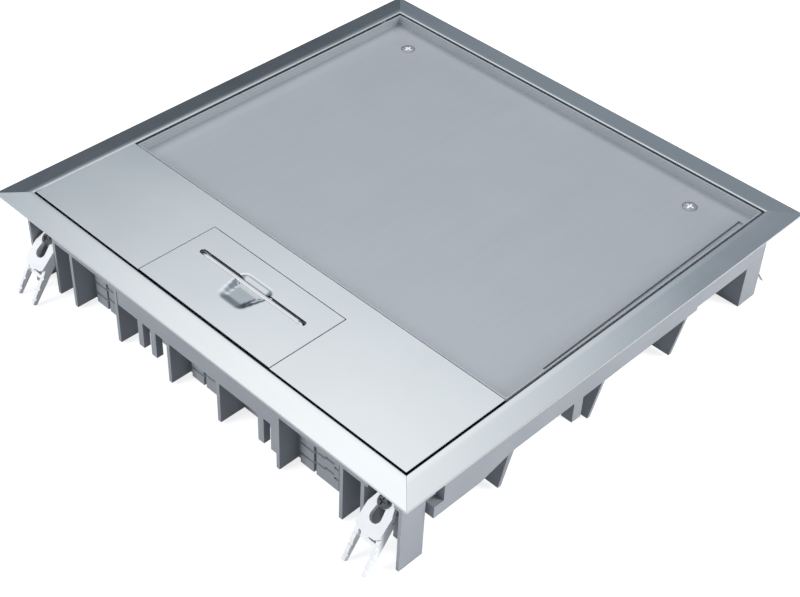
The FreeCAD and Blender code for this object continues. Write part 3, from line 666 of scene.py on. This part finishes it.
# the flap's sheet: folded front, pressed finger dish and the handle's slot
flap = {
    "sheet": 0.001,
    "cell": 0.0006,
    "cornerRound": 0.0003,
    "cornerSegments": 3,
    "cornerAngle": 60,
    "grow": 0.0001,  # the sheet fills the opening a little more than the solid does
    "dishCentre": -0.0016,
    "dishRear": -0.0892,
    "dishFront": -0.1012,
    "dishHalf": 0.0066,
    "dishNarrow": 0.66,  # the dish's width at its front, against the rear
    "dishWall": 0.0043,  # width of the soft wall round the dish's floor
    "dishPivot": -0.1105,  # the dish's floor tips down about this line
    "dishTilt": 4.6,
    "slotWidth": 0.003,
    "slotLength": 0.0675,
    "slotCentre": -0.00215,
    "slotBehind": 0.0003,
    "slotEndPoints": 16,
    "slotDepth": 0.02,
}


def inDish(point):
    along = (point.y - flap["dishRear"]) / (flap["dishFront"] - flap["dishRear"])
    half = flap["dishHalf"] * (1 - (1 - flap["dishNarrow"]) * along)
    return 0 <= along <= 1 and abs(point.x - flap["dishCentre"]) < half


def makeFlap():
    low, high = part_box("outlet_flap")
    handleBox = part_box("lift_handle")
    wide, long = high.x - low.x + 2 * flap["grow"], high.y - low.y + flap["grow"]
    bpy.ops.mesh.primitive_grid_add(
        x_subdivisions=round(wide / flap["cell"]), y_subdivisions=round(long / flap["cell"]),
        size=1, location=((low.x + high.x) / 2, (low.y + high.y + flap["grow"]) / 2, high.z))
    piece = bpy.context.object
    piece.name = "outletFlap"
    piece.scale = (wide, long, 1)
    applyPlace()
    pickVertices(piece, inDish)
    bpy.ops.transform.rotate(
        value=math.radians(flap["dishTilt"]), orient_axis="X",
        center_override=(flap["dishCentre"], flap["dishPivot"], high.z),
        use_proportional_edit=True, proportional_edit_falloff="SMOOTH",
        proportional_size=flap["dishWall"])
    pickVertices(piece, lambda point: point.y < low.y + near["touch"])
    extrude((0, 0, low.z - high.z))
    bpy.ops.object.mode_set(mode="OBJECT")
    thicken(piece, flap["sheet"])
    settle(piece)
    roundEdges(piece, flap["cornerRound"], flap["cornerSegments"], flap["cornerAngle"])
    settle(piece)
    cutSlot(piece, (handleBox[0].y + handleBox[1].y) / 2, high.z)
    place(piece, "flap", "stainless", "outlet_flap")


def cutSlot(piece, along, level):
    bpy.ops.mesh.primitive_cylinder_add(
        vertices=flap["slotEndPoints"] * 2, radius=flap["slotWidth"] / 2,
        depth=flap["slotDepth"], location=(0, along, level))
    cutter = bpy.context.object
    applyPlace()
    for side in (-1, 1):
        reach = side * (flap["slotLength"] - flap["slotWidth"]) / 2 + flap["slotCentre"]
        moveVertices(cutter, lambda point: point.x * side > near["touch"], (reach, 0, 0))
    moveVertices(cutter, lambda point: point.y > along + near["touch"],
                 (0, flap["slotBehind"], 0))
    subtract(piece, cutter)


makeFlap()
print("flap dressed")

# the lifting handle: one wire with four soft bends
wire = {
    "forward": 0.0003,  # it rests against the front of the slot
    "radius": 0.0011,
    "bendRadius": 0.0032,
    "bendSteps": 10,
    "ringPoints": 24,
    "foot": 0.004,
    "smoothAngle": 50,
}


def makeHandle():
    low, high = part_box("lift_handle")
    radius, bend, foot = wire["radius"], wire["bendRadius"], wire["foot"]
    along = (low.y + high.y) / 2 - wire["forward"]
    left, right = low.x + foot, high.x - foot
    down, up = low.z + radius, high.z - radius
    bpy.ops.mesh.primitive_circle_add(
        vertices=wire["ringPoints"], radius=radius, fill_type="NGON",
        location=(low.x, along, down), rotation=(0, math.radians(90), 0))
    piece = bpy.context.object
    piece.name = "liftHandle"
    applyPlace()
    bpy.ops.object.mode_set(mode="EDIT")
    bpy.ops.mesh.select_all(action="SELECT")

    def turn(across, level, way):
        bpy.ops.mesh.spin(steps=wire["bendSteps"], angle=math.radians(90),
                          center=(across, along, level), axis=(0, way, 0))

    extrude((foot - bend, 0, 0))
    turn(left - bend, down + bend, 1)
    extrude((0, 0, up - down - 2 * bend))
    turn(left + bend, up - bend, -1)
    extrude((right - left - 2 * bend, 0, 0))
    turn(right - bend, up - bend, -1)
    extrude((0, 0, down - up + 2 * bend))
    turn(right + bend, down + bend, 1)
    extrude((foot - bend, 0, 0))
    weldAll()
    bpy.ops.mesh.normals_make_consistent(inside=False)
    bpy.ops.object.mode_set(mode="OBJECT")
    settle(piece, wire["smoothAngle"])
    place(piece, "handle", "polished_wire", "lift_handle")


makeHandle()
print("handle dressed")

# the claws, with moulded edges
claw = {"edgeRound": 0.0004, "edgeSegments": 3}


def makeClaw(end, side):
    piece = nodeCopy(f"claw_{end}_{side}", f"claw{end.title()}{side.title()}")
    roundEdges(piece, claw["edgeRound"], claw["edgeSegments"])
    settle(piece)
    place(piece, f"claw_{end[0]}{side[0]}", "claw_white", f"claw_{end}_{side}")


for clawEnd in ("front", "rear"):
    for clawSide in ("left", "right"):
        makeClaw(clawEnd, clawSide)
print("claws dressed")

# the two screws of the tray: dull heads, with the faces of the cross recess coloured near-white as
# a painted highlight
trayScrew = {
    "edgeRound": 0.0002,
    "recessReach": 0.0023,  # from the screw's axis
    "recessLow": 0.0009,  # the recess's floor lies between these two depths below the head
    "recessLowest": 0.002,
    "recessRaise": 0.0006,
}


def makeTrayScrews():
    piece = nodeCopy("tray_screws", "trayScrews")
    low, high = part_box("tray_screws")
    middle = (low.y + high.y) / 2
    radius = (high.y - low.y) / 2
    axes = (low.x + radius, high.x - radius)

    def inRecess(point, drop):
        reach = min(math.hypot(point.x - axis, point.y - middle) for axis in axes)
        return (reach < trayScrew["recessReach"]
                and high.z - trayScrew["recessLowest"] < point.z < high.z - drop)

    moveVertices(piece, lambda point: inRecess(point, trayScrew["recessLow"]),
                 (0, 0, trayScrew["recessRaise"]))
    roundEdges(piece, trayScrew["edgeRound"])
    settle(piece)
    place(piece, "lid", "zinc_steel", "tray_screws")
    # the faces inside the cross recess take the near-white painted highlight
    piece.data.materials.append(steels["recess"])
    for face in piece.data.polygons:
        face.material_index = int(inRecess(face.center, trayScrew["edgeRound"]))


makeTrayScrews()
print("screws dressed")

# the grey moulding, with its edges just broken, and the floor of each cable slot given a
# near-black colour as painted shade
housing = {
    "edgeRound": 0.00018,
    "slotFloor": 0.1098,  # the slots' floors lie between these two distances from the middle
    "slotEnd": 0.1103,
    "slotLow": 0.004,
    "slotTop": 0.0235,
    "gridReach": 0.0885,
    "facing": 0.9,
    # the box low on the right side, with its rising edge at the back and its toe at the front
    "boxInner": 0.1204,
    "boxBottom": 0.0225,
    "boxFront": -0.1027,
    "boxNear": 0.0003,
    "plateFront": -0.0627,
    "plateBack": -0.0617,
    "riseStart": -0.081,
    "rise": 0.0045,
    "toeTop": 0.029,
    "toe": 0.0055,
}


def cutAcross(piece, point, normal):
    pickVertices(piece, lambda anywhere: True)
    bpy.ops.mesh.bisect(plane_co=point, plane_no=normal)
    bpy.ops.object.mode_set(mode="OBJECT")


def shapeSideBox(piece):
    margin = housing["boxNear"]
    inside = housing["boxInner"] - margin

    def onUnderside(point):
        return (point.x > inside and abs(point.z - housing["boxBottom"]) < margin
                and housing["plateFront"] - margin < point.y < housing["plateBack"] + margin)

    def onFront(point):
        return (point.x > inside and abs(point.y - housing["boxFront"]) < margin
                and point.z < housing["toeTop"] + margin)

    cutAcross(piece, (0, housing["riseStart"], 0), (0, 1, 0))
    cutAcross(piece, (0, 0, housing["toeTop"]), (0, 0, 1))
    moveVertices(piece, onUnderside, (0, 0, housing["rise"]))
    pickVertices(piece, onFront)
    extrude((0, -housing["toe"], 0))
    weldAll()
    bpy.ops.object.mode_set(mode="OBJECT")


def inPaintedSlotShade(face):
    spot, facing = face.center, face.normal.y
    inGrid = (housing["slotLow"] < spot.z < housing["slotTop"]
              and abs(spot.x) < housing["gridReach"])
    deep = housing["slotFloor"] < abs(spot.y) < housing["slotEnd"]
    return inGrid and deep and facing * spot.y > 0 and abs(facing) > housing["facing"]


def makeHousing():
    piece = nodeCopy("housing", "housingMoulding")
    shapeSideBox(piece)
    roundEdges(piece, housing["edgeRound"])
    settle(piece)
    place(piece, "frame", "grey_moulding", "housing")
    # the slot floors take the near-black finish, which is painted shade
    piece.data.materials.append(plastics["slots"])
    for face in piece.data.polygons:
        face.material_index = int(inPaintedSlotShade(face))


makeHousing()
print("housing dressed")

# the floor, the lamps and the world
studio = {
    "floorSize": 4.0,
    "floorColour": (0.45, 0.45, 0.45),
    "floorRoughness": 0.9,
    "floorGlow": 0.78,
    "floorMirrored": 0.25,
    # each patch of the mirrored sky: its middle, the cosines from the middle
    # where it starts and is full, and its strength
    "softboxTowards": (-0.44, 0.37, 0.82),
    "softboxSpread": (0.893, 1.0),
    "softboxBright": 1.32,
    "frontTowards": (-0.2, -0.9, 0.4),
    "frontSpread": (0.35, 0.65),
    "frontBright": 0.95,
    "sideTowards": (0.85, 0.1, 0.5),
    "sideSpread": (0.45, 0.8),
    "sideBright": 0.95,
    "dimTowards": (-0.80, 0.49, 0.25),
    "dimSpread": (0.92, 1.0),
    "dimBright": 0.05,
    "roomBright": 0.30,  # the sky outside the patches
    "dimTint": (0.84, 0.98, 1.16),
    "fullTint": (1.0, 1.0, 1.0),
    "shadeTint": (0.86, 0.98, 1.18),  # of the light that comes from all round
    "tintFull": 1.1,  # the strength from which a mirrored patch is neutral
    "ambient": 0.30,
    "lamps": {  # place, size, watts
        "backSoftbox": ((-0.45, 0.75, 1.9), 1.3, 18.0),
        "frontSoftbox": ((-0.6, -1.6, 1.2), 1.0, 28.5),
        "sideSoftbox": ((1.6, 0.9, 0.8), 0.9, 39.0),
    },
}


def mirroredRays(tree, paths):
    return addMath(tree, "MAXIMUM", paths["Is Glossy Ray"], paths["Is Transmission Ray"])


def makeFloor():
    low = cadBox[0][2]
    bpy.ops.mesh.primitive_plane_add(size=studio["floorSize"], location=(0, 0, low))
    floor = bpy.context.object
    floor.name = "studioFloor"
    made, tree, shader = newMaterial("studioFloor")
    shader.inputs["Base Color"].default_value = (*studio["floorColour"], 1)
    shader.inputs["Roughness"].default_value = studio["floorRoughness"]
    shader.inputs["Specular IOR Level"].default_value = 0.0
    paths = tree.nodes.new("ShaderNodeLightPath").outputs
    seen = addMath(tree, "MULTIPLY", paths["Is Camera Ray"], studio["floorGlow"])
    mirrored = addMath(tree, "MULTIPLY", mirroredRays(tree, paths), studio["floorMirrored"])
    shader.inputs["Emission Color"].default_value = (1, 1, 1, 1)
    tree.links.new(addMath(tree, "MAXIMUM", seen, mirrored), shader.inputs["Emission Strength"])
    floor.data.materials.append(made)


def makeWorld():
    world = bpy.data.worlds.new("studioWorld")
    world.use_nodes = True
    bpy.context.scene.world = world
    tree = world.node_tree
    ground = tree.nodes["Background"]
    paths = tree.nodes.new("ShaderNodeLightPath").outputs
    ways = tree.nodes.new("ShaderNodeTexCoord").outputs["Generated"]

    def patch(name, around):
        dot = tree.nodes.new("ShaderNodeVectorMath")
        dot.operation = "DOT_PRODUCT"
        dot.inputs[1].default_value = Vector(studio[name + "Towards"]).normalized()
        tree.links.new(ways, dot.inputs[0])
        return addRange(tree, dot.outputs["Value"], *studio[name + "Spread"], around,
                        studio[name + "Bright"])

    sky = patch("dim", studio["roomBright"])
    for name in ("softbox", "front", "side"):
        sky = addMath(tree, "MAXIMUM", sky, patch(name, 0))
    mirror = addMath(tree, "MULTIPLY", mirroredRays(tree, paths), sky)
    shown = addMath(tree, "MAXIMUM", paths["Is Camera Ray"], mirror)
    plain = addMath(tree, "MULTIPLY", paths["Is Diffuse Ray"], studio["ambient"])
    tree.links.new(addMath(tree, "MAXIMUM", shown, plain), ground.inputs["Strength"])
    strength = addRange(tree, sky, 0, studio["tintFull"], 0, 1)
    tint = mixColours(tree, strength, studio["dimTint"], studio["fullTint"])
    shade = mixColours(tree, paths["Is Diffuse Ray"], studio["fullTint"], studio["shadeTint"])
    tree.links.new(mixColours(tree, paths["Is Glossy Ray"], shade, tint), ground.inputs["Color"])


def makeLamps():
    for name, (spot, size, power) in studio["lamps"].items():
        data = bpy.data.lights.new(name, "AREA")
        data.shape = "DISK"
        data.size = size
        data.energy = power
        lamp = bpy.data.objects.new(name, data)
        lamp.visible_glossy = False  # the steel mirrors the soft gradient of the sky
        lamp.location = spot
        lamp.rotation_euler = (-Vector(spot)).to_track_quat("-Z", "Y").to_euler()
        bpy.context.collection.objects.link(lamp)


makeFloor()
makeWorld()
makeLamps()
print("studio built")
